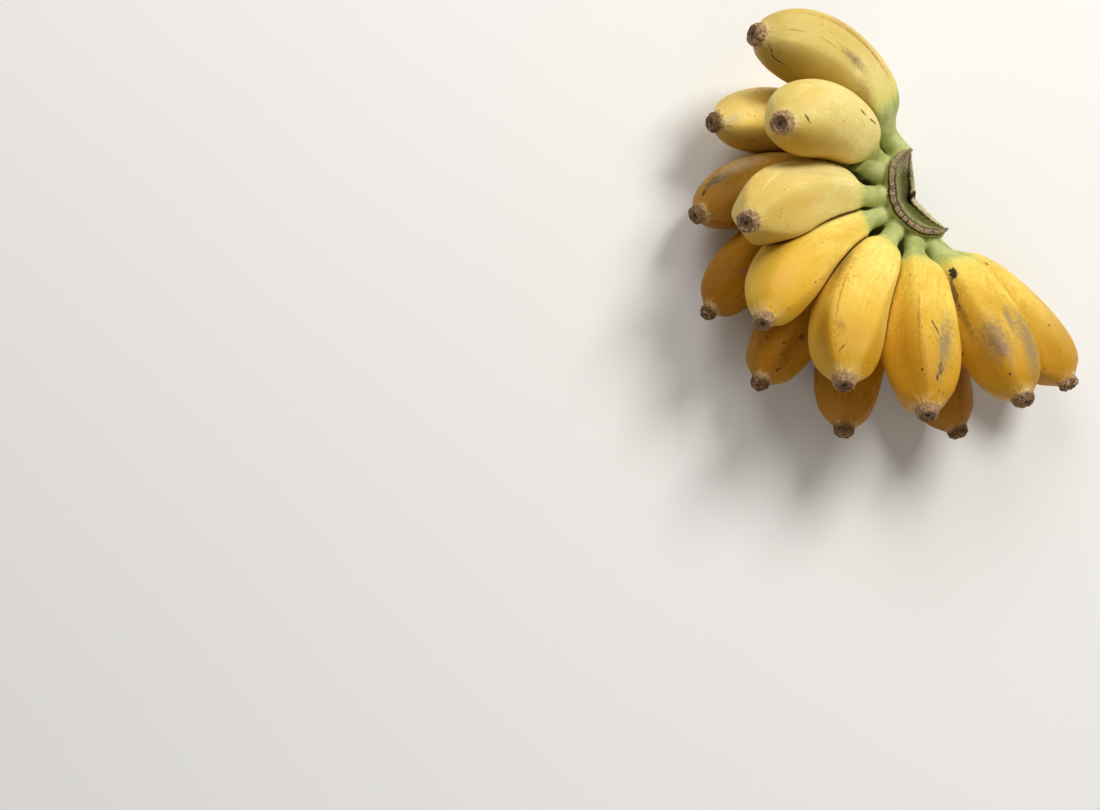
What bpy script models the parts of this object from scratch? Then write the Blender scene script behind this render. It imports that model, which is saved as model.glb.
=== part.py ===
"""A hand of small dessert bananas, as cut from its stalk and laid down.

Fourteen fingers in two rows spread like a fan from one crown. Lengths are in metres and angles in
degrees. Everything is placed from the upright line through the middle of the crown, and the whole hand
is then moved so that the middle of its footprint is the origin. +Z is up, +X runs from the fingers
towards the crown, and the flat under the crown and under the lower row's bellies is z = 0.
"""
import math
from collections import namedtuple

import bmesh
import bpy
import numpy as np

# One finger: where its pedicel leaves the crown (angle round the crown's middle, reach from it, height),
# the way it sets off (heading) and how far it has turned by the tip (sweep), its climb at the pedicel
# and at the tip, its length along the curve, its thickness, the turn of its five ridges, how blunt its
# end is (0 to 1), and how far its pedicel leans away from the heading.
Finger = namedtuple(
    "Finger", "name angle reach height heading sweep climb tip_climb length girth roll blunt lean"
)

UPPER_ROW = [
    Finger("banana_upper_1", 123, 0.030, 0.033, 119, 59, 12, 27, 0.1055, 0.0370, 20, 1.0, 10),
    Finger("banana_upper_2", 148, 0.030, 0.034, 145, 68, 30, 50, 0.093, 0.0370, 50, 0.2, 0),
    Finger("banana_upper_3", 187, 0.029, 0.036, 182, 34, 18, 48, 0.101, 0.0370, 70, 0.0, 0),
    Finger("banana_upper_4", 209, 0.029, 0.033, 202, 38, 16, 34, 0.107, 0.0360, 40, 0.2, 0),
    Finger("banana_upper_5", 233, 0.029, 0.035, 231, 24, 24, 38, 0.111, 0.0360, 30, 0.5, 0),
    Finger("banana_upper_6", 258, 0.030, 0.035, 262, 0, 24, 36, 0.107, 0.0360, 52, 0.6, 0),
    Finger("banana_upper_7", 278, 0.030, 0.034, 295, -10, 16, 30, 0.098, 0.0350, 62, 0.8, 0),
    Finger("banana_upper_8", 292, 0.031, 0.020, 319, -20, 2, 22, 0.1005, 0.0330, 24, 1.0, 0),
]
LOWER_ROW = [
    Finger("banana_lower_1", 134, 0.029, 0.012, 149, 44, 3, 27, 0.1035, 0.0345, 36, 1.0, 0),
    Finger("banana_lower_2", 167, 0.028, 0.012, 172, 39, 2, 24, 0.104, 0.0350, 10, 1.0, 0),
    Finger("banana_lower_3", 196, 0.028, 0.012, 196, 33, 2, 20, 0.112, 0.0340, 55, 0.6, 0),
    Finger("banana_lower_4", 229, 0.028, 0.012, 221, 16, 2, 20, 0.112, 0.0340, 30, 1.0, 0),
    Finger("banana_lower_5", 254, 0.029, 0.012, 241, 18, 2, 20, 0.111, 0.0350, 44, 1.0, 0),
    Finger("banana_lower_6", 275, 0.030, 0.012, 269, 18, 2, 20, 0.104, 0.0340, 18, 0.7, 0),
]
HAND = UPPER_ROW + LOWER_ROW

# Half thickness along a finger, as a share of half its girth: pedicel, shoulder, belly, taper, flower end.
# Each row holds the share of the length, and the width of a slender and of a blunt finger.
OUTLINE = [
    (0.000, 0.300, 0.300), (0.050, 0.305, 0.305), (0.100, 0.430, 0.430), (0.155, 0.660, 0.660),
    (0.235, 0.830, 0.830), (0.360, 0.940, 0.940), (0.490, 0.990, 0.990), (0.600, 1.000, 1.000),
    (0.715, 0.945, 0.965), (0.815, 0.805, 0.860), (0.885, 0.610, 0.700), (0.930, 0.430, 0.500),
    (0.958, 0.340, 0.360), (0.980, 0.328, 0.335), (1.000, 0.305, 0.305),
]
RIDGES = 5
RIDGE_RISE = 0.045            # share of the half thickness
RIDGE_START = (0.06, 0.26)    # shares of the length over which the ridges come up
RIDGE_END = (0.86, 0.97)      # and fade out
BELLY_RISE = 0.03             # how much fuller the two sides are than the back
BEND_START = 0.02             # the stretch of the length that bends
BEND_END = 0.92
LEAN_END = 0.22               # the share of the length over which a leaning pedicel comes round
SIDES = 20
RINGS = 22
SPINE_STEPS = 120

GREEN_UP_TO = 0.12            # the green neck and the dried flower end, as shares of the length
DRY_FROM = 0.957
DISH_SHARE = 0.62             # the sunk middle of the flower end
DISH_DEPTH = 0.0010
NIB_HEIGHT = 0.0004

FINGER_GAP = 0.0006           # between two fingers that press on each other
PRESS_STEPS = 18
LEAST_SHARE = 0.05            # of its radius, that a pressed ring keeps
STUB_GAP = 0.0003             # between a finger and its stub on the crown
STUB_LENGTH = 0.007
STUB_FLARE = 0.40             # how much wider a stub is where it sinks into the crown
STUB_RINGS = 4

CROWN_HEIGHT = 0.042
CROWN_SECTIONS = 26
# The corky rim seen from above, round the crown's middle: angle, outer radius, inner radius.
RIM = [
    (114, 0.0228, 0.0216), (129, 0.0242, 0.0215), (145, 0.0243, 0.0209), (162, 0.0224, 0.0190),
    (181, 0.0211, 0.0177), (208, 0.0220, 0.0186), (237, 0.0228, 0.0196), (265, 0.0250, 0.0214),
    (284, 0.0255, 0.0224), (294, 0.0240, 0.0230),
]
RIM_BEVEL = 0.0005
WALL_FLARE = 0.0022           # the wall below the rim stands out by this much
WALL_SHARES = (0.20, 0.75, 0.93)        # heights on the outer wall: flare from, flare to, rim from
# The lower edge of the cut face, where two knife cuts meet in a notch: its share of the way round the
# crown, its place from the crown's middle (x, y) and its height.
CUT_EDGE = [
    (0.00, -0.0068, 0.0224, 0.034), (0.40, 0.0041, 0.0078, 0.010), (0.46, 0.0051, 0.0018, 0.007),
    (0.53, 0.0068, -0.0007, 0.008), (0.74, 0.0092, -0.0095, 0.018), (1.00, 0.0118, -0.0207, 0.034),
]
HOLLOW_FACE = [(0.22, 0.17), (0.50, 0.42), (0.78, 0.70), (1.00, 0.88)]  # its way down and way in
FOOT_IN = 0.26                # how far under the crown its foot lies, as a share of its thickness
CHIN_IN = 0.03                # the same for the skin halfway down below the cut
CHIN_SHARE = 0.50
WALL_FOOT_IN = 0.0030         # how far the outer wall curves in where it meets the ground

# Each material's colour and roughness.
FINISHES = {
    "peel_pale": ((0.80, 0.62, 0.20, 1.0), 0.42),
    "peel_golden": ((0.78, 0.50, 0.09, 1.0), 0.42),
    "peel_deep": ((0.62, 0.34, 0.05, 1.0), 0.42),
    "neck_green": ((0.36, 0.42, 0.11, 1.0), 0.50),
    "flower_end": ((0.13, 0.085, 0.065, 1.0), 0.80),
    "crown_cork": ((0.24, 0.17, 0.11, 1.0), 0.85),
    "crown_cut": ((0.17, 0.16, 0.06, 1.0), 0.70),
}
PALE_FINGERS = 4              # the first of the upper row are paler than the rest
SHARP_ANGLE = 50


def clear_scene():
    for item in list(bpy.data.objects):
        bpy.data.objects.remove(item, do_unlink=True)


def make_material(name, colour, roughness):
    material = bpy.data.materials.new(name)
    material.use_nodes = True
    shader = material.node_tree.nodes["Principled BSDF"]
    shader.inputs["Base Color"].default_value = colour
    shader.inputs["Roughness"].default_value = roughness
    shader.inputs["Metallic"].default_value = 0.0
    material.diffuse_color = colour
    return material


def ease(share):
    """0 to 1 with a soft start and a soft stop."""
    share = np.clip(share, 0.0, 1.0)
    return share * share * (3.0 - 2.0 * share)


def half_thickness(finger, shares):
    """Half thickness at shares of the length; a stub's shares are below 0."""
    knots, slender, blunt = np.array(OUTLINE).T
    widths = slender + finger.blunt * (blunt - slender)
    slopes = np.gradient(widths, knots)
    inside = np.clip(shares, 0.0, 1.0)
    left = np.clip(np.searchsorted(knots, inside, side="right") - 1, 0, len(knots) - 2)
    span = knots[left + 1] - knots[left]
    u = (inside - knots[left]) / span
    smooth = (
        (2 * u**3 - 3 * u**2 + 1) * widths[left]
        + (u**3 - 2 * u**2 + u) * span * slopes[left]
        + (3 * u**2 - 2 * u**3) * widths[left + 1]
        + (u**3 - u**2) * span * slopes[left + 1]
    )
    behind = np.clip(-shares, 0.0, None) * finger.length / STUB_LENGTH
    return smooth * (1.0 + STUB_FLARE * behind) * finger.girth / 2


def spine(finger, shares):
    """Points and directions along a finger; before its root it runs straight back into the crown."""
    steps = np.linspace(0.0, 1.0, SPINE_STEPS)
    turned = ease((steps - BEND_START) / (BEND_END - BEND_START))
    leaning = finger.lean * (1.0 - ease(steps / LEAN_END))
    heading = np.radians(finger.heading + finger.sweep * turned + leaning)
    climb = np.radians(finger.climb + (finger.tip_climb - finger.climb) * turned)
    level = np.cos(climb)
    ways = np.stack([level * np.cos(heading), level * np.sin(heading), np.sin(climb)], axis=1)
    angle = math.radians(finger.angle)
    root = np.array([finger.reach * math.cos(angle), finger.reach * math.sin(angle), finger.height])
    legs = (ways[1:] + ways[:-1]) / 2 * finger.length / (SPINE_STEPS - 1)
    path = np.vstack([root, root + np.cumsum(legs, axis=0)])
    points = np.stack([np.interp(shares, steps, path[:, axis]) for axis in range(3)], axis=1)
    points += np.clip(shares, None, 0.0)[:, None] * finger.length * ways[0]
    along = np.stack([np.interp(shares, steps, ways[:, axis]) for axis in range(3)], axis=1)
    return points, along / np.linalg.norm(along, axis=1)[:, None]


def rings(finger, shares):
    """Centres, outward directions and radii of the rings round a finger."""
    centres, along = spine(finger, shares)
    across = np.cross((0.0, 0.0, 1.0), along)
    across /= np.linalg.norm(across, axis=1)[:, None]
    above = np.cross(along, across)
    turn = np.linspace(0.0, 2 * math.pi, SIDES, endpoint=False)
    outward = np.cos(turn)[:, None] * above[:, None, :] + np.sin(turn)[:, None] * across[:, None, :]
    come_up = (shares - RIDGE_START[0]) / (RIDGE_START[1] - RIDGE_START[0])
    die_down = (RIDGE_END[1] - shares) / (RIDGE_END[1] - RIDGE_END[0])
    present = ease(come_up) * ease(die_down)
    ridge = RIDGE_RISE * np.cos(RIDGES * (turn - math.radians(finger.roll)))
    fuller = BELLY_RISE * np.sin(turn) ** 2
    radii = half_thickness(finger, shares)[:, None] * (1.0 + present[:, None] * (ridge + fuller))
    return centres, outward, radii


def outside(points, line):
    """How far points lie outside a finger, given by its spine and half thickness; inside is negative."""
    path, half = line
    return (np.linalg.norm(points[:, :, None] - path, axis=3) - half).min(axis=2)


def press(ringset, own, neighbours):
    """Bring each ring vertex in to where it lies as deep in its own finger as in any neighbour."""
    centres, outward, radii = ringset
    kept = np.ones_like(radii)
    for neighbour in neighbours:
        clear = outside(centres[:, None], neighbour)[:, 0]
        near = np.where(clear < radii.max(axis=1) + FINGER_GAP)[0]
        if not len(near):
            continue
        low = np.full((len(near), SIDES), LEAST_SHARE)
        high = kept[near]
        share = high
        for step in range(PRESS_STEPS):
            points = centres[near, None] + (share * radii[near])[:, :, None] * outward[near]
            over = outside(points, own) > outside(points, neighbour) - FINGER_GAP
            if step == 0:
                cut = over
            high = np.where(over, share, high)
            low = np.where(over, low, share)
            share = (low + high) / 2
        kept[near] = np.where(cut, low, kept[near])
    return centres[:, None] + (kept * radii)[:, :, None] * outward


def skin(mesh, rows, slots):
    """Quads between closed rows of points, slots[i] being the material after row i."""
    loops = [[mesh.verts.new(point) for point in row] for row in rows]
    for row, (near, far) in enumerate(zip(loops, loops[1:])):
        for side in range(len(near)):
            beside = (side + 1) % len(near)
            face = mesh.faces.new((near[side], near[beside], far[beside], far[side]))
            face.material_index = slots[row]
    return loops


def fan(mesh, loop, tip, slot):
    """Close a loop of vertices on one point."""
    middle = mesh.verts.new(tip)
    for side, vertex in enumerate(loop):
        face = mesh.faces.new((vertex, loop[(side + 1) % len(loop)], middle))
        face.material_index = slot


def finish_mesh(name, mesh, materials):
    """Turn a bmesh into an object: faces outward, smooth, with its sharp edges kept."""
    bmesh.ops.triangulate(mesh, faces=mesh.faces)
    bmesh.ops.recalc_face_normals(mesh, faces=mesh.faces)
    for face in mesh.faces:
        face.smooth = True
    for edge in mesh.edges:
        edge.smooth = edge.calc_face_angle(0.0) < math.radians(SHARP_ANGLE)
    data = bpy.data.meshes.new(name)
    mesh.to_mesh(data)
    mesh.free()
    for material in materials:
        data.materials.append(material)
    item = bpy.data.objects.new(name, data)
    bpy.context.scene.collection.objects.link(item)
    return item


def ring_shares():
    """Shares of a finger's length, closer together towards both ends."""
    even = np.linspace(0.0, 1.0, RINGS)
    bunched = (1.0 - np.cos(math.pi * even)) / 2
    return (even + bunched) / 2


def line_of(finger, first_share):
    """A finger's spine points and half thicknesses, for press()."""
    shares = np.linspace(first_share, 1.0, SPINE_STEPS)
    return spine(finger, shares)[0], half_thickness(finger, shares)


def make_finger(finger, peel, neck, dry):
    """One banana: green neck, ridged peel, and the dried flower end with its sunk middle."""
    shares = ring_shares()
    stub_share = STUB_LENGTH / finger.length
    others = [line_of(other, -stub_share) for other in HAND if other is not finger]
    rows = press(rings(finger, shares), line_of(finger, 0.0), others)
    rows[:, :, 2] = np.maximum(rows[:, :, 2], 0.0)
    ends, ways = spine(finger, np.array([0.0, 1.0]))
    dish = ends[1] + DISH_SHARE * (rows[-1] - ends[1]) - DISH_DEPTH * ways[1]
    slots = [1 if share < GREEN_UP_TO else 2 if share > DRY_FROM else 0 for share in shares]
    mesh = bmesh.new()
    loops = skin(mesh, [*rows, dish], slots)
    fan(mesh, loops[0], ends[0], 1)
    fan(mesh, loops[-1], ends[1] - (DISH_DEPTH - NIB_HEIGHT) * ways[1], 2)
    return finish_mesh(finger.name, mesh, (peel, neck, dry))


def make_stub(finger, materials):
    """The part of a pedicel that belongs to the crown; it ends just short of its finger."""
    gap_share = STUB_GAP / finger.length
    shares = np.linspace(-STUB_LENGTH / finger.length, -gap_share, STUB_RINGS)
    others = [line_of(other, 0.0) for other in HAND if other is not finger]
    rows = press(rings(finger, shares), line_of(finger, shares[0]), others)
    rows[:, :, 2] = np.maximum(rows[:, :, 2], 0.0)
    ends = spine(finger, shares)[0]
    mesh = bmesh.new()
    loops = skin(mesh, rows, [0] * len(rows))
    fan(mesh, loops[0], ends[0], 0)
    fan(mesh, loops[-1], ends[-1], 0)
    return finish_mesh("stub_" + finger.name, mesh, materials)


def crown_section(share):
    """The crown's section at a share of the way round it: its points and each side's material."""
    angles, outers, inners = np.array(RIM).T
    angle = angles[0] + share * (angles[-1] - angles[0])
    outer = np.interp(angle, angles, outers)
    inner = np.interp(angle, angles, inners)
    way = np.array([math.cos(math.radians(angle)), math.sin(math.radians(angle))])
    shares, across, along, heights = np.array(CUT_EDGE).T
    edge = np.array([np.interp(share, shares, across), np.interp(share, shares, along)])
    edge_height = np.interp(share, shares, heights)
    top = CROWN_HEIGHT
    flare_from, flare_to, rim_from = (part * top for part in WALL_SHARES)
    bevel = min(RIM_BEVEL, (outer - inner) / 3)
    thickness = outer * way - edge
    chin = [(*(edge + CHIN_IN * thickness), CHIN_SHARE * edge_height)]
    foot = [(*(edge + FOOT_IN * thickness), 0.0)]
    wall = [(outer - WALL_FOOT_IN, 0.0), (outer + WALL_FLARE, flare_from), (outer + WALL_FLARE, flare_to)]
    rim = [(outer, rim_from), (outer, top - bevel), (outer - bevel, top)]
    rim += [(inner + bevel, top), (inner, top - bevel)]
    upright = [(*(radius * way), height) for radius, height in wall + rim]
    hollow = []
    for down, way_in in HOLLOW_FACE:
        plan = inner * way + way_in * (edge - inner * way)
        hollow.append((*plan, top + down * (edge_height - top)))
    points = foot + upright + hollow + [(*edge, edge_height)] + chin
    slots = [0] * len(foot + wall) + [1] * len(rim) + [2] * len(hollow) + [0, 0]
    return points, slots


def make_crown(neck, cork, cut):
    """The half ring that the fingers grow from, with a stub for each of them."""
    mesh = bmesh.new()
    rows = []
    for share in np.linspace(0.0, 1.0, CROWN_SECTIONS):
        row, slots = crown_section(share)
        rows.append(row)
    loops = [[mesh.verts.new(point) for point in row] for row in rows]
    for near, far in zip(loops, loops[1:]):
        for side, slot in enumerate(slots):
            beside = (side + 1) % len(near)
            face = mesh.faces.new((near[side], near[beside], far[beside], far[side]))
            face.material_index = slot
    for end in (loops[0], loops[-1]):
        mesh.faces.new(end).material_index = 2
    crown = finish_mesh("crown", mesh, (neck, cork, cut))
    stubs = bpy.data.collections.new("stubs")
    bpy.context.scene.collection.children.link(stubs)
    for finger in HAND:
        stub = make_stub(finger, (neck, cork, cut))
        bpy.context.scene.collection.objects.unlink(stub)
        stubs.objects.link(stub)
    join = crown.modifiers.new("join", "BOOLEAN")
    join.operation = "UNION"
    join.solver = "MANIFOLD"
    join.operand_type = "COLLECTION"
    join.collection = stubs
    apply_modifiers(crown)
    for stub in list(stubs.objects):
        bpy.data.objects.remove(stub, do_unlink=True)
    bpy.data.collections.remove(stubs)
    return crown


def apply_modifiers(item):
    """Replace an object's mesh by its evaluated one."""
    graph = bpy.context.evaluated_depsgraph_get()
    made = bpy.data.meshes.new_from_object(item.evaluated_get(graph))
    item.modifiers.clear()
    made.name = item.name
    item.data = made


def centre_footprint(items):
    """Move every mesh so that the middle of the hand's footprint is the origin."""
    points = np.array([vertex.co[:] for item in items for vertex in item.data.vertices])
    middle = (points.min(axis=0) + points.max(axis=0)) / 2
    for item in items:
        for vertex in item.data.vertices:
            vertex.co.x -= middle[0]
            vertex.co.y -= middle[1]


def main():
    clear_scene()
    finish = {name: make_material(name, *values) for name, values in FINISHES.items()}
    items = [make_crown(finish["neck_green"], finish["crown_cork"], finish["crown_cut"])]
    peels = ["peel_pale"] * PALE_FINGERS + ["peel_golden"] * (len(UPPER_ROW) - PALE_FINGERS)
    peels += ["peel_deep"] * len(LOWER_ROW)
    for finger, peel in zip(HAND, peels):
        items.append(make_finger(finger, finish[peel], finish["neck_green"], finish["flower_end"]))
    centre_footprint(items)


main()
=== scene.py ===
import math
from collections import namedtuple

import bmesh
import bpy
import numpy as np
from mathutils import Matrix, Vector
from mathutils.kdtree import KDTree


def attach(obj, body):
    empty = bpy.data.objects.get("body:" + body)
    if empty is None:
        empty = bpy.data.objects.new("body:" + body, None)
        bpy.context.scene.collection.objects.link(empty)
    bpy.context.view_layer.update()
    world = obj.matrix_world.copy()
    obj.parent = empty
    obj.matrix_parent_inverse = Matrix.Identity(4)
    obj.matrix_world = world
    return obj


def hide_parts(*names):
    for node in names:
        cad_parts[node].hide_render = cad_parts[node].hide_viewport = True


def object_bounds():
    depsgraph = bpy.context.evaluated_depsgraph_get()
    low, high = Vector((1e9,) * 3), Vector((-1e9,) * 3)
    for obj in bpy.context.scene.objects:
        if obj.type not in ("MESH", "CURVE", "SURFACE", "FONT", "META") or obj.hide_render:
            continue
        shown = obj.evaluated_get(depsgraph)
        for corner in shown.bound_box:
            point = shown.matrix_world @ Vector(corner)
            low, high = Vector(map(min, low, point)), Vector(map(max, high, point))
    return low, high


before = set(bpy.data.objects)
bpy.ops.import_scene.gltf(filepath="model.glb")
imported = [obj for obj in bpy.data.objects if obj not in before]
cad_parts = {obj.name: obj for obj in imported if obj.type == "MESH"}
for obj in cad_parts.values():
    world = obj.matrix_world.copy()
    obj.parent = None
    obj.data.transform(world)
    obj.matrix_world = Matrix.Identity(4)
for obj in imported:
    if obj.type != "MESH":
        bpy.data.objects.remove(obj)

# The looks of a hand of small dessert bananas. Lengths are in metres and angles in degrees.
# Every banana is made again as a fine mesh on the same curve, outline and ridges as its CAD solid, with
# a narrower flower end, and the crown as one grown form. Each finger's mesh carries a "straight"
# attribute, its place as if the finger were straight, so that fibres, freckles and bruises follow the peel.

CAD_BOX = [list(corner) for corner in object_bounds()]

# One finger: where its pedicel leaves the crown (angle round the crown's middle, reach from it, height),
# the way it sets off (heading) and how far it has turned by the tip (sweep), its climb at the pedicel
# and at the tip, its length along the curve, its thickness, the turn of its five ridges, how blunt its
# end is (0 to 1), and how far its pedicel leans away from the heading.
Finger = namedtuple(
    "Finger", "name angle reach height heading sweep climb tip_climb length girth roll blunt lean"
)

UPPER_ROW = [
    Finger("banana_upper_1", 123, 0.030, 0.033, 119, 59, 12, 27, 0.1055, 0.0370, 20, 1.0, 10),
    Finger("banana_upper_2", 148, 0.030, 0.034, 145, 68, 30, 50, 0.093, 0.0370, 50, 0.2, 0),
    Finger("banana_upper_3", 187, 0.029, 0.036, 182, 34, 18, 48, 0.101, 0.0370, 70, 0.0, 0),
    Finger("banana_upper_4", 209, 0.029, 0.033, 202, 38, 16, 34, 0.107, 0.0360, 40, 0.2, 0),
    Finger("banana_upper_5", 233, 0.029, 0.035, 231, 24, 24, 38, 0.111, 0.0360, 30, 0.5, 0),
    Finger("banana_upper_6", 258, 0.030, 0.035, 262, 0, 24, 36, 0.107, 0.0360, 52, 0.6, 0),
    Finger("banana_upper_7", 278, 0.030, 0.034, 295, -10, 16, 30, 0.098, 0.0350, 62, 0.8, 0),
    Finger("banana_upper_8", 292, 0.031, 0.020, 319, -20, 2, 22, 0.1005, 0.0330, 24, 1.0, 0),
]
LOWER_ROW = [
    Finger("banana_lower_1", 134, 0.029, 0.012, 149, 44, 3, 27, 0.1035, 0.0345, 36, 1.0, 0),
    Finger("banana_lower_2", 167, 0.028, 0.012, 172, 39, 2, 24, 0.104, 0.0350, 10, 1.0, 0),
    Finger("banana_lower_3", 196, 0.028, 0.012, 196, 33, 2, 20, 0.112, 0.0340, 55, 0.6, 0),
    Finger("banana_lower_4", 229, 0.028, 0.012, 221, 16, 2, 20, 0.112, 0.0340, 30, 1.0, 0),
    Finger("banana_lower_5", 254, 0.029, 0.012, 241, 18, 2, 20, 0.111, 0.0350, 44, 1.0, 0),
    Finger("banana_lower_6", 275, 0.030, 0.012, 269, 18, 2, 20, 0.104, 0.0340, 18, 0.7, 0),
]
HAND = UPPER_ROW + LOWER_ROW
CROWN_MIDDLE = np.array([0.0240065, 0.0225826, 0.0])

# Half thickness along a finger, as a share of half its girth: pedicel, shoulder, belly, taper, flower end.
# Each row holds the share of the length, and the width of a slender and of a blunt finger.
OUTLINE = [
    (0.000, 0.300, 0.300), (0.050, 0.305, 0.305), (0.100, 0.430, 0.430), (0.155, 0.660, 0.660),
    (0.235, 0.830, 0.830), (0.360, 0.940, 0.940), (0.490, 0.990, 0.990), (0.600, 1.000, 1.000),
    (0.715, 0.945, 0.965), (0.815, 0.805, 0.860), (0.885, 0.610, 0.700), (0.930, 0.430, 0.500),
    (0.958, 0.340, 0.360), (0.980, 0.328, 0.335), (1.000, 0.305, 0.305),
]
RIDGES = 5
RIDGE_RISE = 0.050            # share of the half thickness
RIDGE_EDGE = 1.20             # 1 is a knife edge, 2 a round wave
# Fingers with weaker or sharper ridges than most.
RIDGE_SHARES = {
    "banana_upper_1": 1.2, "banana_upper_2": 0.35, "banana_upper_3": 1.3, "banana_upper_4": 0.75,
    "banana_upper_5": 1.3, "banana_upper_6": 1.6, "banana_upper_7": 1.2, "banana_upper_8": 1.5,
    "banana_lower_1": 0.7,
}
# The flower end's width as a share of the CAD solid's, and the two that are narrower than the rest.
END_SHARE = 0.90
END_SHARES = {"banana_lower_3": 0.76, "banana_lower_4": 0.86}
NARROW_FROM = 0.90            # the share of the length where it begins to narrow
NARROW_OVER = 0.06            # and the share over which it does
RIDGE_START = (0.00, 0.22)    # shares of the length over which the ridges come up
RIDGE_END = (0.88, 0.98)      # and fade out
RIDGE_SWAY = 0.10             # how far they wander round the finger, in radians
RIDGE_WAVES = 3.0
BELLY_RISE = 0.03             # a finger is wider than high by this share
BEND_START = 0.02             # shares of the length between which it bends
BEND_END = 0.92
# Slow lumps of the fruit: waves round it, beats along it, and their rise as a share of the half thickness.
LUMPS = [(1, 1.5, 0.008), (2, 2.5, 0.007), (3, 4.0, 0.004), (4, 7.0, 0.002)]
LUMP_DRIFT = 2                # how far the waves may turn along the finger, in radians
PLEATS = 17                   # pleats of skin before the flower end
PLEAT_RISE = 0.016
PLEAT_PLACE = 0.945           # the share of the length where they are deepest
PLEAT_REACH = 0.018
LEAN_END = 0.22               # the share of the length over which a leaning pedicel comes round
SPINE_STEPS = 120
SIDES = 96
RINGS = 150
TUCK = 0.003                  # how far each pedicel runs on inside the crown
FINGER_GAP = 0.0004
PRESS_STEPS = 14
LEAST_KEPT = 0.05             # the least share of a radius that a neighbour leaves
KEPT_BLUR = 2
# The dried flower end's face: share of its radius, and how far it is sunk.
DISH = [
    (0.95, -0.0003), (0.88, -0.0004), (0.80, -0.0002), (0.70, 0.0002), (0.60, 0.0005), (0.50, 0.0005),
    (0.40, 0.0004), (0.30, 0.0006), (0.20, 0.0005), (0.12, 0.0002), (0.05, 0.0001),
]
DRY_END = 0.010               # the share of the length over which the flower end's edge is worn round
DRY_WEAR = 0.16
CRUMB_FROM = (0.940, 0.965)   # shares of the length over which the skin turns crumbly
CRUMB_RISE = 0.00042
CRUMB_COARSE = 0.0022
CRUMB_FINE = 0.0010

# The corky rim seen from above, round the crown's middle: angle, outer radius, inner radius.
RIM = [
    (114, 0.0228, 0.0216), (129, 0.0242, 0.0215), (145, 0.0243, 0.0209), (162, 0.0224, 0.0190),
    (181, 0.0211, 0.0177), (208, 0.0220, 0.0186), (237, 0.0228, 0.0196), (265, 0.0250, 0.0214),
    (284, 0.0255, 0.0224), (294, 0.0240, 0.0230),
]
CROWN_HEIGHT = 0.042
WALL_FLARE = 0.0022           # the wall below the rim stands out by this much
WALL = [(0.20, 1), (0.75, 1), (0.93, 0)]   # share of the height, and whether the wall stands out there
WALL_FOOT_IN = 0.0030         # and curves in by this much where it meets the ground
RIM_BEVEL = 0.0005
CROWN_RADIUS = 0.022          # turns angles round the crown into lengths
# Cracks across the rim: angle round the crown and half width.
RIM_CRACKS = [
    (139, 0.00030), (152, 0.00022), (166, 0.00026), (178, 0.00055), (182.5, 0.00045), (193, 0.00020),
    (206, 0.00050), (209.5, 0.00040), (219, 0.00035), (228, 0.00045), (236, 0.00050), (247, 0.00022),
    (261, 0.00030), (274, 0.00022),
]
# The lower edge of the cut face, where two knife cuts meet in a notch: its share of the way round the
# crown, its place from the crown's middle (x, y) and its height.
CUT_EDGE = [
    (0.00, -0.0068, 0.0224, 0.034), (0.40, 0.0034, 0.0078, 0.010), (0.46, 0.0044, 0.0018, 0.007),
    (0.53, 0.0062, -0.0007, 0.008), (0.74, 0.0092, -0.0095, 0.018), (1.00, 0.0118, -0.0207, 0.034),
]
HOLLOW_FACE = [(0.22, 0.17), (0.52, 0.42), (0.82, 0.66), (1.06, 0.83)]  # its way down and way in
# The skin's cut edge stands up beyond the hollow: way down, way in, how much it is bare flesh.
LIP = [(0.985, 0.850, 0.4), (0.965, 0.872, 1.0), (0.965, 0.97, 1.0)]
RIM_CROWN = 0.0002            # the rim's middle stands above its edges
RIM_BEVEL_CORE = 0.3          # how far its bevels count as its middle
CROWN_FIELDS = ("cork", "core", "cut", "depth", "lip")    # and each point's share of the way round
FOOT_IN = 0.26                # how far under the crown its foot lies, as a share of its thickness
CHIN_IN = 0.03                # the same for the skin halfway down below the cut
CHIN_SHARE = 0.50
BROWN_EDGE = 0.0014           # how far down the skin the lip's brown edge reaches
CROWN_SECTIONS = 160
STEPS_BETWEEN = 6             # points between two corners of a section, for the colours
STUB_REACH = (-0.009, 0.008)  # from inside the crown to where a pedicel stands clear of it
STUB_FLARE = 0.28             # how much wider it is there
STUB_CURVE = 1.6
STUB_FIT = 0.93               # and how much of its finger's width it has at the end
STUB_RINGS = 9
STUB_SIDES = 24
CROWN_VOXEL = 0.0005
LOOKS_REACH = 0.0016          # beyond this a point is plain skin
LOOKS_FADE = 0.0008
WEB_SMOOTHING = 14            # rounds of smoothing where the pedicels fuse
RIM_SMOOTHING = 2             # and on the rim and the cut
SMOOTHING_PULL = 0.6
FLAT_UNDER = 0.0002           # points below this stay on the ground
CREVICE_ROUNDS = 14
# Relief on the crown: how large its lumps are and how far they rise.
CORK_CRUMBS = (0.0011, 0.00022)
CORK_GRAINS = 0.0006
CUT_STRANDS = (0.0016, 0.00030)
STRAND_STRETCH = 0.18         # strands run down: noise is squeezed by this much upwards
LIP_CHIPS = (0.0030, 0.00045)
SKIN_LUMPS = (0.0050, 0.00008)
NOISE_SIDE = 16               # cells after which the noise repeats


def ease(share):
    """0 to 1 with a soft start and a soft stop."""
    share = np.clip(share, 0.0, 1.0)
    return share * share * (3.0 - 2.0 * share)


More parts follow.
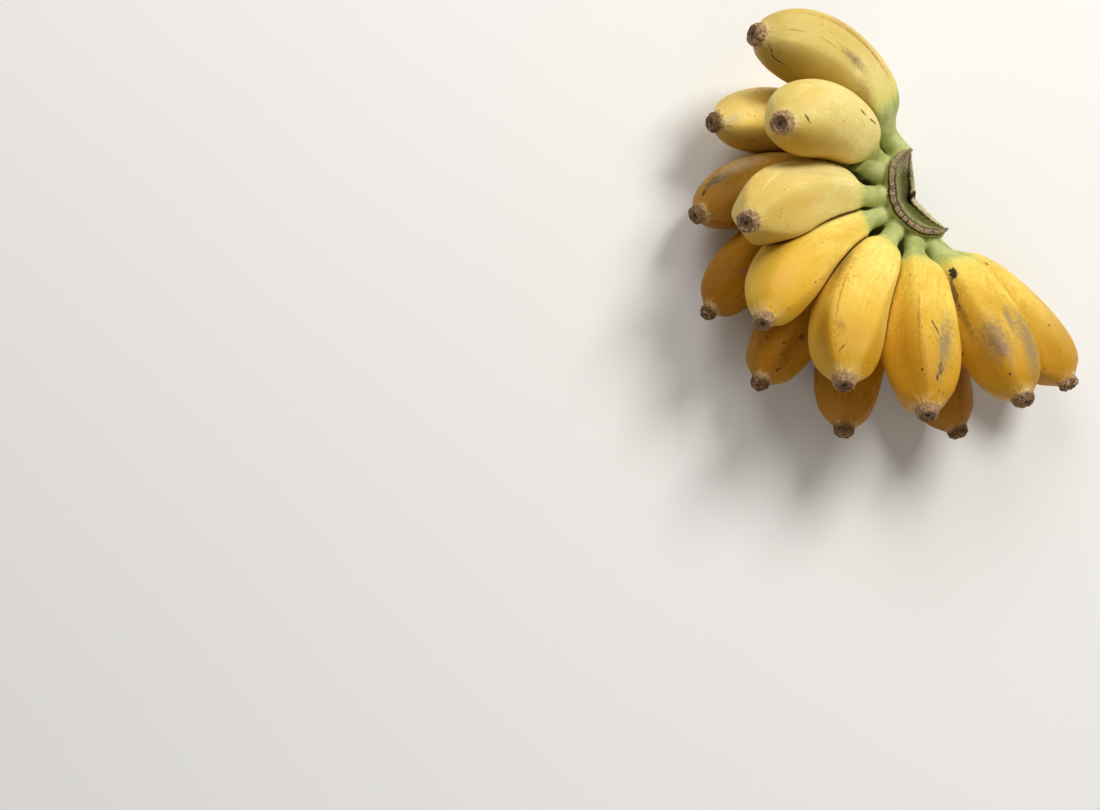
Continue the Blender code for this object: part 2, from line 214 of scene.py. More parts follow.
def half_thickness(finger, shares):
    """Half thickness at shares of the length."""
    knots, slender, blunt = np.array(OUTLINE).T
    widths = slender + finger.blunt * (blunt - slender)
    slopes = np.gradient(widths, knots)
    inside = np.clip(shares, 0.0, 1.0)
    left = np.clip(np.searchsorted(knots, inside, side="right") - 1, 0, len(knots) - 2)
    span = knots[left + 1] - knots[left]
    u = (inside - knots[left]) / span
    smooth = (
        (2 * u**3 - 3 * u**2 + 1) * widths[left]
        + (u**3 - 2 * u**2 + u) * span * slopes[left]
        + (3 * u**2 - 2 * u**3) * widths[left + 1]
        + (u**3 - u**2) * span * slopes[left + 1]
    )
    return smooth * finger.girth / 2


def spine(finger, shares):
    """Points and directions along a finger; before its root it runs straight back into the crown."""
    steps = np.linspace(0.0, 1.0, SPINE_STEPS)
    turned = ease((steps - BEND_START) / (BEND_END - BEND_START))
    leaning = finger.lean * (1.0 - ease(steps / LEAN_END))
    heading = np.radians(finger.heading + finger.sweep * turned + leaning)
    climb = np.radians(finger.climb + (finger.tip_climb - finger.climb) * turned)
    level = np.cos(climb)
    ways = np.stack([level * np.cos(heading), level * np.sin(heading), np.sin(climb)], axis=1)
    angle = math.radians(finger.angle)
    root = CROWN_MIDDLE + (finger.reach * math.cos(angle), finger.reach * math.sin(angle), finger.height)
    legs = (ways[1:] + ways[:-1]) / 2 * finger.length / (SPINE_STEPS - 1)
    path = np.vstack([root, root + np.cumsum(legs, axis=0)])
    points = np.stack([np.interp(shares, steps, path[:, axis]) for axis in range(3)], axis=1)
    points += np.clip(shares, None, 0.0)[:, None] * finger.length * ways[0]
    along = np.stack([np.interp(shares, steps, ways[:, axis]) for axis in range(3)], axis=1)
    return points, along / np.linalg.norm(along, axis=1)[:, None]


def lumps(finger, shares, turn):
    """A slow, uneven swelling of the fruit, as a share of its half thickness."""
    draw = np.random.default_rng(int(finger.angle * 10 + finger.length * 1e4))
    total = np.zeros((len(shares), len(turn)))
    for waves, beats, size in LUMPS:
        phase, start = draw.uniform(0, 2 * math.pi, 2)
        drift = draw.uniform(-LUMP_DRIFT, LUMP_DRIFT)
        around = np.cos(waves * turn[None] + phase + drift * shares[:, None])
        total += size * around * np.sin(beats * math.pi * shares[:, None] + start)
    return total


def directions_across(along):
    """The level direction and the upper one across each direction along a finger."""
    across = np.cross((0.0, 0.0, 1.0), along)
    across /= np.linalg.norm(across, axis=1)[:, None]
    return across, np.cross(along, across)


def ringset(finger, shares, sides=SIDES):
    """Centres, outward directions, radii, crest shares and angles of the rings round a finger."""
    centres, along = spine(finger, shares)
    across, above = directions_across(along)
    turn = np.linspace(0.0, 2 * math.pi, sides, endpoint=False)
    outward = np.cos(turn)[:, None] * above[:, None, :] + np.sin(turn)[:, None] * across[:, None, :]
    come_up = (shares - RIDGE_START[0]) / (RIDGE_START[1] - RIDGE_START[0])
    die_down = (RIDGE_END[1] - shares) / (RIDGE_END[1] - RIDGE_END[0])
    present = (ease(come_up) * ease(die_down))[:, None]
    sway = RIDGE_SWAY * np.sin(RIDGE_WAVES * shares + finger.roll)[:, None]
    valley = np.abs(np.sin(RIDGES / 2 * (turn - math.radians(finger.roll) + sway)))
    crest = 1.0 - valley
    ridge = RIDGE_RISE * RIDGE_SHARES.get(finger.name, 1.0) * (1.0 - 2.0 * valley**RIDGE_EDGE)
    fuller = BELLY_RISE * np.sin(turn) ** 2
    shape = 1.0 + present * (ridge + fuller + lumps(finger, shares, turn))
    pleats = PLEAT_RISE * np.cos(PLEATS * turn + 2.0 * np.sin(2 * turn))
    pleats = pleats * np.exp(-(((shares - PLEAT_PLACE) / PLEAT_REACH) ** 2))[:, None]
    radii = half_thickness(finger, shares)[:, None] * (shape + pleats)
    return centres, outward, radii, crest, turn


def outside(points, line):
    """How far points lie outside a finger, given by its spine and half thickness; inside is negative."""
    path, half = line
    return (np.linalg.norm(points[:, None] - path, axis=2) - half).min(axis=1)


def line_of(finger):
    shares = np.linspace(-0.08, 1.0, SPINE_STEPS)
    return spine(finger, shares)[0], half_thickness(finger, shares)


def press(finger, centres, outward, radii):
    """Shares of the radii that stay where neighbours press: as deep in one finger as in the other."""
    kept = np.ones_like(radii)
    own = line_of(finger)
    rows, columns = np.indices(radii.shape)
    for other in HAND:
        if other is finger:
            continue
        neighbour = line_of(other)
        close = outside(centres, neighbour) < radii.max(axis=1) + FINGER_GAP
        if not close.any():
            continue
        row, column = rows[close].ravel(), columns[close].ravel()
        high = kept[row, column]

        def over(share, row, column):
            points = centres[row] + (share * radii[row, column])[:, None] * outward[row, column]
            return outside(points, own) > outside(points, neighbour) - FINGER_GAP

        cut = over(high, row, column)
        row, column, high = row[cut], column[cut], high[cut]
        low = np.full(len(row), LEAST_KEPT)
        for _ in range(PRESS_STEPS):
            middle = (low + high) / 2
            out = over(middle, row, column)
            high = np.where(out, middle, high)
            low = np.where(out, low, middle)
        kept[row, column] = low
    return kept


def soften(field, times):
    """Blur a field over the rings, which close on themselves sideways."""
    for _ in range(times):
        padded = np.vstack([field[:1], field, field[-1:]])
        field = (padded[:-2] + 2 * field + padded[2:]) / 4
        field = (np.roll(field, 1, axis=1) + 2 * field + np.roll(field, -1, axis=1)) / 4
    return field


def add_object(name, data):
    item = bpy.data.objects.new(name, data)
    bpy.context.scene.collection.objects.link(item)
    return item


def read(items, field, width=3, kind=float):
    """A field of a mesh's points or edges, as an array."""
    values = np.zeros(len(items) * width, kind)
    items.foreach_get(field, values)
    return values.reshape(-1, width)


def add_attribute(data, name, kind, values):
    attribute = data.attributes.new(name, kind, "POINT")
    field = "vector" if kind == "FLOAT_VECTOR" else "value"
    attribute.data.foreach_set(field, np.asarray(values, np.float32).ravel())


def grid_faces(rows, sides):
    """Quads between closed rows, as vertex numbers."""
    near = np.arange(rows - 1)[:, None] * sides + np.arange(sides)
    beside = np.arange(rows - 1)[:, None] * sides + (np.arange(sides) + 1) % sides
    return np.stack([near, beside, beside + sides, near + sides], axis=2).reshape(-1, 4)


def make_finger(finger):
    """One banana as a fine closed mesh, with its attributes."""
    even = np.linspace(0.0, 1.0, RINGS)
    shares = (even + (1.0 - np.cos(math.pi * even)) / 2) / 2
    tuck = TUCK / finger.length
    shares = np.concatenate([[-tuck, -tuck / 2], shares])
    centres, outward, radii, crest, turn = ringset(finger, shares)
    kept = soften(press(finger, centres, outward, radii), KEPT_BLUR)
    worn = 1.0 - DRY_WEAR * ease((shares - 1.0 + DRY_END) / DRY_END)
    narrowed = 1.0 - END_SHARES.get(finger.name, END_SHARE)
    worn *= 1.0 - narrowed * ease((shares - NARROW_FROM) / NARROW_OVER)
    points = centres[:, None] + (kept * radii * worn[:, None])[:, :, None] * outward
    end, way = (value[-1] for value in spine(finger, np.array([1.0])))
    rows = [points]
    for share, sunk in DISH:
        rows.append((end + share * (points[-1] - end) - sunk * way)[None])
    points = np.vstack(rows)
    tube = len(shares)
    total = len(points)
    flat = points.reshape(-1, 3)
    crumbs = lattice_noise(flat, CRUMB_COARSE, 7) + 0.8 * lattice_noise(flat, CRUMB_FINE, 8)
    crumbs = CRUMB_RISE * crumbs.reshape(total, SIDES, 1)
    rising = ease((shares - CRUMB_FROM[0]) / (CRUMB_FROM[1] - CRUMB_FROM[0]))
    points[:tube] += rising[:, None, None] * crumbs[:tube] * outward
    points[tube:] += crumbs[tube:] * way
    vertices = np.clip(points.reshape(-1, 3), CAD_BOX[0], CAD_BOX[1])
    first = centres[0]
    last = end - DISH[-1][1] * way
    vertices = np.vstack([vertices, first, last])
    quads = grid_faces(total, SIDES)
    around = np.arange(SIDES)
    beside = (around + 1) % SIDES
    start_fan = np.stack([beside, around, np.full(SIDES, total * SIDES)], axis=1)
    last_row = (total - 1) * SIDES
    end_fan = np.stack([last_row + around, last_row + beside, np.full(SIDES, total * SIDES + 1)], axis=1)
    data = bpy.data.meshes.new(finger.name + "_peel")
    data.from_pydata(vertices.tolist(), [], quads.tolist() + start_fan.tolist() + end_fan.tolist())

    depth = np.concatenate([np.ones(tube), [share for share, _ in DISH]])
    place = np.concatenate([shares, np.ones(len(DISH))])
    girth = finger.girth / 2
    straight = np.zeros((total, SIDES, 3))
    straight[:, :, 0] = girth * depth[:, None] * np.cos(turn)
    straight[:, :, 1] = girth * depth[:, None] * np.sin(turn)
    straight[:, :, 2] = (place * finger.length)[:, None]
    straight = np.vstack([straight.reshape(-1, 3), (0, 0, -TUCK), (0, 0, finger.length)])
    add_attribute(data, "straight", "FLOAT_VECTOR", straight)
    add_attribute(data, "along", "FLOAT", np.append(np.repeat(place, SIDES), (shares[0], 1.0)))
    full_crest = np.vstack([crest, np.repeat(crest[-1:], len(DISH), axis=0)])
    add_attribute(data, "crest", "FLOAT", np.append(full_crest.ravel(), (0.0, 0.0)))
    full_kept = np.vstack([kept, np.ones((len(DISH), SIDES))])
    add_attribute(data, "squeeze", "FLOAT", np.append(1.0 - full_kept.ravel(), (0.0, 0.0)))
    data.shade_smooth()
    data.validate()
    data.update()
    return add_object(finger.name + "_peel", data)


def crown_section(share):
    """The crown's corners at a share of the way round, each with its looks: see CROWN_FIELDS."""
    angles, outers, inners = np.array(RIM).T
    angle = angles[0] + share * (angles[-1] - angles[0])
    outer = np.interp(angle, angles, outers)
    inner = np.interp(angle, angles, inners)
    way = np.array([math.cos(math.radians(angle)), math.sin(math.radians(angle))])
    shares, across, along, heights = np.array(CUT_EDGE).T
    edge = np.array([np.interp(share, shares, across), np.interp(share, shares, along)])
    edge_height = np.interp(share, shares, heights)
    top = CROWN_HEIGHT
    thickness = outer * way - edge
    bevel = min(RIM_BEVEL, (outer - inner) / 4)
    skin = (0, 0, 0, 0, 0)
    corners = [((*(edge + FOOT_IN * thickness), 0.0), skin)]
    wall = [(outer - WALL_FOOT_IN, 0.0)]
    wall += [(outer + stands_out * WALL_FLARE, share_up * top) for share_up, stands_out in WALL]
    corners += [((*(radius * way), height), skin) for radius, height in wall]
    rim = [
        (outer, top - bevel, 0.0), (outer - bevel, top, RIM_BEVEL_CORE),
        ((outer + inner) / 2, top + RIM_CROWN, 1.0),
        (inner + bevel, top, RIM_BEVEL_CORE), (inner, top - bevel, 0.0),
    ]
    corners += [((*(radius * way), height), (1, core, 0, 0, 0)) for radius, height, core in rim]
    for down, way_in in HOLLOW_FACE:
        plan = inner * way + way_in * (edge - inner * way)
        corners.append(((*plan, top + down * (edge_height - top)), (0, 0, 1, way_in, 0)))
    for down, way_in, lip in LIP:
        plan = inner * way + way_in * (edge - inner * way)
        corners.append(((*plan, top + down * (edge_height - top)), (0, 0, 1, 1, lip)))
    corners.append(((*edge, edge_height), (0, 0, 0, 1, 0.5)))
    chin_height = CHIN_SHARE * edge_height
    down = BROWN_EDGE / (edge_height - chin_height)
    corners.append(((*(edge + down * CHIN_IN * thickness), edge_height - BROWN_EDGE), skin))
    corners.append(((*(edge + CHIN_IN * thickness), chin_height), skin))
    points = np.array([point for point, _ in corners]) + CROWN_MIDDLE
    return points, np.array([looks for _, looks in corners], float)


# Skin that joins pedicels low down, written like the beginning of one more finger each.
WEBS = [
    Finger("web_upper_2", 157, 0.032, 0.0345, 155, 0, 24, 24, 0.1, 0.0400, 0, 0, 0),
    Finger("web_upper_1", 135, 0.035, 0.027, 135, 0, 12, 12, 0.1, 0.0340, 0, 0, 0),
    Finger("web_lower_1", 152, 0.040, 0.016, 154, 0, 5, 5, 0.1, 0.0460, 0, 0, 0),
]


def make_crown():
    """The crown and the beginnings of all pedicels, fused as they grew."""
    mesh = bmesh.new()
    sections = [crown_section(share) for share in np.linspace(0.0, 1.0, CROWN_SECTIONS)]
    loops = [[mesh.verts.new(point) for point in points] for points, _ in sections]
    close_loft(mesh, loops)
    for finger in HAND + WEBS:
        add_stub(mesh, finger)
    bmesh.ops.triangulate(mesh, faces=mesh.faces)
    bmesh.ops.recalc_face_normals(mesh, faces=mesh.faces)
    data = bpy.data.meshes.new("crown_grown")
    mesh.to_mesh(data)
    mesh.free()
    item = add_object("crown_grown", data)
    remesh = item.modifiers.new("fuse", "REMESH")
    remesh.mode = "VOXEL"
    remesh.voxel_size = CROWN_VOXEL
    graph = bpy.context.evaluated_depsgraph_get()
    made = bpy.data.meshes.new_from_object(item.evaluated_get(graph))
    item.modifiers.clear()
    item.data = made
    finish_crown(made, sections)
    return item


def close_loft(mesh, loops):
    """Faces between closed loops of vertices, and over both ends."""
    for near, far in zip(loops, loops[1:]):
        for side in range(len(near)):
            beside = (side + 1) % len(near)
            mesh.faces.new((near[side], near[beside], far[beside], far[side]))
    mesh.faces.new(loops[0])
    mesh.faces.new(loops[-1])


def add_stub(mesh, finger):
    """A pedicel's beginning: it widens into the crown and thins to nothing over its finger's neck."""
    shares = np.linspace(STUB_REACH[0], STUB_REACH[1], STUB_RINGS) / finger.length
    centres, outward, radii, _, _ = ringset(finger, shares, STUB_SIDES)
    back = np.clip((STUB_REACH[1] - shares * finger.length) / (STUB_REACH[1] - STUB_REACH[0]), 0, 1)
    widen = STUB_FIT + STUB_FLARE * back**STUB_CURVE
    points = centres[:, None] + (radii * widen[:, None])[:, :, None] * outward
    points[:, :, 2] = np.maximum(points[:, :, 2], 0.0)
    close_loft(mesh, [[mesh.verts.new(point) for point in row] for row in points])


def finish_crown(data, sections):
    """Say what each point of the fused crown is, and smooth it: much on the skin, little on the cut."""
    samples = KDTree(CROWN_SECTIONS * len(sections[0][0]) * STEPS_BETWEEN)
    kinds = []
    for number, (points, fields) in enumerate(sections):
        share = number / (CROWN_SECTIONS - 1)
        for corner in range(len(points)):
            beside = (corner + 1) % len(points)
            for step in np.arange(STEPS_BETWEEN) / STEPS_BETWEEN:
                samples.insert(points[corner] * (1 - step) + points[beside] * step, len(kinds))
                kinds.append((*(fields[corner] * (1 - step) + fields[beside] * step), share))
    samples.balance()
    kinds = np.array(kinds)
    points = read(data.vertices, "co")
    found = np.array([samples.find(point)[1:] for point in points])
    fields = kinds[found[:, 0].astype(int)]
    near = ease((LOOKS_REACH - found[:, 1]) / LOOKS_FADE)
    looks = {name: fields[:, axis] * near for axis, name in enumerate(CROWN_FIELDS)}
    looks["share"] = fields[:, len(CROWN_FIELDS)]
    cork, cut, lip = looks["cork"], looks["cut"], looks["lip"]
    edges = read(data.edges, "vertices", 2, int)
    degree = np.bincount(edges.ravel(), minlength=len(points))[:, None]
    firm = np.clip(cork + cut + lip, 0.0, 1.0)[:, None]
    flat = points[:, 2:] < FLAT_UNDER
    for step in range(WEB_SMOOTHING):
        move = (add_neighbours(np.zeros_like(points), points, edges) / degree - points) * SMOOTHING_PULL
        if step >= RIM_SMOOTHING:
            move *= 1.0 - firm
        move[:, 2:] *= ~flat
        points = points + move
    # How hollow each point is; the crown's material paints shade there.
    add_attribute(data, "crevice_shade", "FLOAT", crevices(data, points, edges, degree))
    radial = points[:, :2] - CROWN_MIDDLE[:2]
    turn = np.arctan2(radial[:, 1], radial[:, 0]) % (2 * math.pi)
    points += rough_offsets(data, points, cork, cut, lip)
    points = np.clip(points, CAD_BOX[0], CAD_BOX[1])
    data.vertices.foreach_set("co", points.ravel())
    for name, values in looks.items():
        add_attribute(data, name, "FLOAT", values)
    add_attribute(data, "turn", "FLOAT", turn * CROWN_RADIUS)
    data.shade_smooth()
    data.update()


def add_neighbours(total, points, edges):
    """Add to each total the points that an edge joins its own point to."""
    for one, other in (edges.T, edges.T[::-1]):
        np.add.at(total, one, points[other])
    return total


def crevices(data, points, edges, degree):
    """How hollow the surface is at each point: the mean rise of its neighbours above it, in millimetres."""
    data.vertices.foreach_set("co", points.ravel())
    data.update()
    normals = read(data.vertices, "normal")
    near = points
    for _ in range(CREVICE_ROUNDS):
        near = add_neighbours(near.copy(), near, edges) / (degree + 1)
    return ((near - points) * normals).sum(axis=1) * 1000


def lattice_noise(points, size, seed):
    """Smooth noise from -1 to 1 at points, with lumps of about the given size."""
    values = np.random.default_rng(seed).uniform(-1, 1, (NOISE_SIDE, NOISE_SIDE, NOISE_SIDE))
    place = points / size
    low = np.floor(place).astype(int)
    part = ease(place - low)
    total = np.zeros(len(points))
    for corner in np.ndindex(2, 2, 2):
        weight = np.prod([part[:, a] if corner[a] else 1 - part[:, a] for a in range(3)], axis=0)
        cell = (low + corner) % NOISE_SIDE
        total += weight * values[cell[:, 0], cell[:, 1], cell[:, 2]]
    return total


def rough_offsets(data, points, cork, cut, lip):
    """Small lumps: crumbling cork on the rim, strands down the cut face, a jagged lip."""
    strands = lattice_noise(points * (1, 1, STRAND_STRETCH), CUT_STRANDS[0], 1)
    crumbs = lattice_noise(points, CORK_CRUMBS[0], 2) + 0.6 * lattice_noise(points, CORK_GRAINS, 3)
    chips = lattice_noise(points, LIP_CHIPS[0], 4)
    skin = lattice_noise(points, SKIN_LUMPS[0], 5)
    rise = CORK_CRUMBS[1] * cork * crumbs + CUT_STRANDS[1] * cut * strands
    rise = rise + LIP_CHIPS[1] * lip * chips + SKIN_LUMPS[1] * skin
    return read(data.vertices, "normal") * rise[:, None]


def linear(*levels):
    """A colour given as three levels from 0 to 255, as the linear value that a shader takes."""
    seen = [level / 255 for level in levels]
    return (*[((part + 0.055) / 1.055) ** 2.4 if part > 0.04045 else part / 12.92 for part in seen], 1.0)


class Shader:
    """A material's node tree, built by small calls that take and return sockets."""

    def __init__(self, name):
        self.material = bpy.data.materials.new(name)
        self.material.use_nodes = True
        self.tree = self.material.node_tree
        self.surface = self.tree.nodes["Principled BSDF"]

    def node(self, kind, inputs=(), **settings):
        made = self.tree.nodes.new(kind)
        for name, value in settings.items():
            setattr(made, name, value)
        for key, value in dict(inputs).items():
            self.set(made.inputs[key], value)
        return made

    def set(self, socket, value):
        if isinstance(value, bpy.types.NodeSocket):
            self.tree.links.new(value, socket)
        else:
            socket.default_value = value

    def attribute(self, name, output="Fac"):
        return self.node("ShaderNodeAttribute", attribute_name=name).outputs[output]

    def place(self):
        """A point's place on the whole hand."""
        return self.node("ShaderNodeTexCoord").outputs["Object"]

    def calc(self, operation, first, second=0.0, clamp=False):
        made = self.node("ShaderNodeMath", {0: first, 1: second}, operation=operation, use_clamp=clamp)
        return made.outputs[0]

    def plus(self, first, second, clamp=False):
        return self.calc("ADD", first, second, clamp)

    def times(self, first, second):
        return self.calc("MULTIPLY", first, second)

    def apart(self, first, second):
        """The distance between two numbers."""
        return self.calc("ABSOLUTE", self.calc("SUBTRACT", first, second))

    def vector(self, operation, output, first, second=(0.0, 0.0, 0.0)):
        made = self.node("ShaderNodeVectorMath", {0: first, 1: second}, operation=operation)
        return made.outputs[output]

    def scaled(self, vector, scale, offset=(0, 0, 0)):
        made = self.node("ShaderNodeMapping", {"Vector": vector, "Scale": scale, "Location": offset})
        return made.outputs[0]

    def noise(self, vector, scale, detail=3.0, roughness=0.5):
        inputs = {"Vector": vector, "Scale": scale, "Detail": detail, "Roughness": roughness}
        return self.node("ShaderNodeTexNoise", inputs).outputs["Fac"]

    def jitter(self, vector, scale, reach):
        """Noise from minus to plus reach."""
        return self.spread(self.noise(vector, scale, 3.0, 0.6), 0.25, 0.75, -reach, reach)

    def dots(self, vector, scale, size):
        """Round dots of a given size, scattered one to a cell."""
        cells = self.node("ShaderNodeTexVoronoi", {"Vector": vector, "Scale": scale})
        return self.calc("LESS_THAN", cells.outputs["Distance"], size)

    def spread(self, value, low, high, to_low=0.0, to_high=1.0):
        inputs = {"Value": value, "From Min": low, "From Max": high, "To Min": to_low, "To Max": to_high}
        return self.node("ShaderNodeMapRange", inputs, interpolation_type="SMOOTHSTEP").outputs[0]

    def mix(self, factor, first, second):
        made = self.node("ShaderNodeMix", data_type="RGBA")
        self.set(made.inputs[0], factor)
        self.set(made.inputs[6], first)
        self.set(made.inputs[7], second)
        return made.outputs[2]

    def tint(self, colour, tone, field, low, high, much=1.0):
        """The colour turned to a tone, by much, as a field goes from low to high."""
        return self.mix(self.spread(field, low, high, 0.0, much), colour, tone)

    def finish(self, colour, roughness, specular, relief, rise):
        """Give the surface its looks; its relief is as high as rise says."""
        height = {"Height": relief, "Distance": rise, "Strength": RELIEF_STRENGTH}
        self.set(self.surface.inputs["Base Color"], colour)
        self.set(self.surface.inputs["Roughness"], roughness)
        self.set(self.surface.inputs["Specular IOR Level"], specular)
        self.set(self.surface.inputs["Normal"], self.node("ShaderNodeBump", height).outputs[0])
        return self.material


RELIEF_STRENGTH = 0.8
PEEL_RELIEF = 0.00014
CROWN_RELIEF = 0.00045

# A peel's light and deep colour.
BUTTER = (linear(240, 224, 152), linear(220, 192, 98))
STRAW = (linear(228, 209, 136), linear(208, 180, 88))
PALE_GOLD = (linear(247, 221, 118), linear(221, 177, 50))
GOLD = (linear(238, 206, 88), linear(206, 157, 30))
HONEY = (linear(252, 232, 140), linear(244, 210, 108))
BRONZE = (linear(226, 182, 66), linear(180, 126, 18))
# Deep amber peel of the lower fingers, made darker still as painted shade cast by the upper row that lies
# over them.
SHADED_AMBER = (linear(214, 162, 28), linear(176, 116, 6))
# Painted shade on the side of each peel that lies away from the light, and the far end as it ripens: their
# colour for each pair.
SHADE_AND_RIPE_END = {
    BUTTER: linear(178, 136, 30), STRAW: linear(164, 124, 22), PALE_GOLD: linear(192, 140, 10),
    GOLD: linear(184, 128, 4), HONEY: linear(164, 116, 10), BRONZE: linear(136, 86, 4),
    SHADED_AMBER: linear(146, 94, 1),
}
# The direction away from the light: the side of each finger that faces it gets painted shade.
SHADE_WAY = np.array([-0.42, -0.85, -0.20])
SHADE_SIDE_SHARE = 0.55             # the share of the length at which that side is found
# How freckled a peel is, where it isn't as freckled as most.
FRECKLED = {BUTTER: 0.2, STRAW: 0.4, BRONZE: 1.2, SHADED_AMBER: 1.2}
MOST_FRECKLED = 0.6
# How ripe each finger looks: its peel, how far its green neck reaches, as a share of its length, and how
# much riper its far end is.
RIPENESS = {
    "banana_upper_1": (STRAW, 0.24, 0.10), "banana_upper_2": (BUTTER, 0.14, 0.04),
    "banana_upper_3": (BUTTER, 0.12, 0.24), "banana_upper_4": (PALE_GOLD, 0.14, 0.34),
    "banana_upper_5": (PALE_GOLD, 0.15, 0.72), "banana_upper_6": (GOLD, 0.15, 0.72),
    "banana_upper_7": (GOLD, 0.17, 0.60), "banana_upper_8": (GOLD, 0.15, 0.60),
    "banana_lower_1": (HONEY, 0.14, 0.00), "banana_lower_2": (BRONZE, 0.14, 0.30),
    "banana_lower_3": (SHADED_AMBER, 0.14, 0.60), "banana_lower_4": (SHADED_AMBER, 0.14, 0.25),
    "banana_lower_5": (SHADED_AMBER, 0.14, 0.00), "banana_lower_6": (SHADED_AMBER, 0.14, 0.10),
}
FIBRE_PALE = (1.0, 0.93, 0.62, 1.0)
NECK_PALE = linear(192, 198, 130)
NECK_GREEN = linear(160, 168, 94)
GREEN_YELLOW = linear(214, 208, 108)
CREST_BROWN = linear(170, 128, 60)
# Painted shade in the creases where neighbouring fingers press together.
CONTACT_SHADE = linear(96, 68, 26)
FRECKLE = linear(88, 58, 24)
PORE = linear(134, 88, 22)
COLLAR = linear(186, 150, 96)
COLLAR_CREAM = linear(230, 208, 154)
SCORCHED = linear(122, 90, 62)
DRY_LIGHT = linear(188, 154, 116)
DRY_DARK = linear(88, 62, 36)
DRY_MIDDLE = linear(38, 28, 23)
# The crown's dark and light tones, and what lies over them.
PALE_FLESH = (linear(118, 122, 68), linear(162, 164, 110))
DARK_FLESH = (linear(46, 46, 2), linear(96, 96, 14))
CORK_FACE = (linear(126, 112, 82), linear(176, 162, 128))
BARK = (linear(120, 96, 70), linear(180, 156, 124))
CREAM = (linear(188, 170, 120), linear(228, 220, 184))
OLIVE = linear(84, 88, 22)
# Painted shade deep in the notch where the two cuts meet.
NOTCH_SHADE = linear(44, 36, 8)
STREAK = linear(70, 54, 42)
CRACK = linear(46, 34, 26)
# Painted shade in the hollows of the crown's green skin.
CREVICE_SHADE = linear(58, 60, 26)
LIP_EDGE = linear(112, 88, 52)
LIP_SPLIT = linear(66, 50, 18)
RIM_EDGE = linear(78, 62, 40)
NOTCH_SHARE = 0.46            # where the notch and the split lip lie, as shares of the way round
SPLIT_SHARE = 0.437

